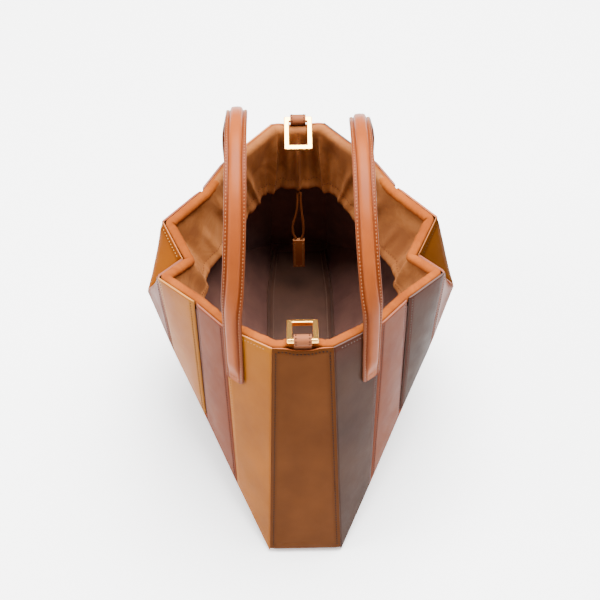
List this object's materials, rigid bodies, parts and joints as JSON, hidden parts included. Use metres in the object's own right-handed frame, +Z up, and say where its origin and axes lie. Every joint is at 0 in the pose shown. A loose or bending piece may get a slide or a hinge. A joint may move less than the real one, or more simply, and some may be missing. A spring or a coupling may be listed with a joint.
{
  "type": "tote bag",
  "caption": "Open-topped leather tote bag with pleated sides on a narrow base, a padded suede collar, arched strap handles and small metal rings.",
  "frame": {"origin": "centre of the bag's footprint, on the surface that it rests on", "axes": "+Z up; +Y from the near end panel to the far end panel, along the base; +X to the right, across the base"},
  "size_m": [0.3034, 0.4074, 0.3699],
  "materials": {
    "leather_base": "smooth",
    "leather_caramel": "smooth, slight sheen",
    "leather_brick": "smooth, slight sheen",
    "leather_honey": "smooth, slight sheen",
    "leather_mauve": "smooth, slight sheen",
    "leather_taupe": "smooth, slight sheen",
    "lining": "matte",
    "suede": "suede",
    "leather_handle": "smooth, slight sheen",
    "gold_plate": "polished",
    "leather_loop": "smooth",
    "leather_cord": "matte",
    "leather_tab": "smooth"
  },
  "bodies": {
    "bag": {"base_panel": "leather_base", "end_panel_near": "leather_caramel", "end_panel_far": "leather_caramel", "underside_left": "leather_brick", "strip_left_1": "leather_honey", "strip_left_2": "leather_mauve", "strip_left_3": "leather_honey", "strip_left_4": "leather_mauve", "strip_left_5": "leather_honey", "strip_left_6": "leather_brick", "strip_left_7": "leather_mauve", "strip_left_8": "leather_honey", "underside_right": "leather_brick", "strip_right_1": "leather_taupe", "strip_right_2": "leather_mauve", "strip_right_3": "leather_taupe", "strip_right_4": "leather_mauve", "strip_right_5": "leather_caramel", "strip_right_6": "leather_caramel", "strip_right_7": "leather_mauve", "strip_right_8": "leather_taupe", "lining": "lining", "suede_collar": "suede", "handle_left": "leather_handle", "handle_right": "leather_handle", "ring_loop_near": "leather_loop", "ring_loop_far": "leather_loop", "draw_cord": "leather_cord", "cord_tab": "leather_tab"},
    "ring_near_body": {"ring_near": "gold_plate"},
    "ring_far_body": {"ring_far": "gold_plate"}
  },
  "joints": [
    {"name": "ring_near_hinge", "type": "hinge", "parent": "bag", "child": "ring_near_body", "pos_m": [0, -0.1396, 0.2568], "axis": [1, 0, 0], "range_deg": [0, 230]},
    {"name": "ring_far_hinge", "type": "hinge", "parent": "bag", "child": "ring_far_body", "pos_m": [0, 0.1404, 0.2568], "axis": [-1, 0, 0], "range_deg": [0, 230]}
  ]
}
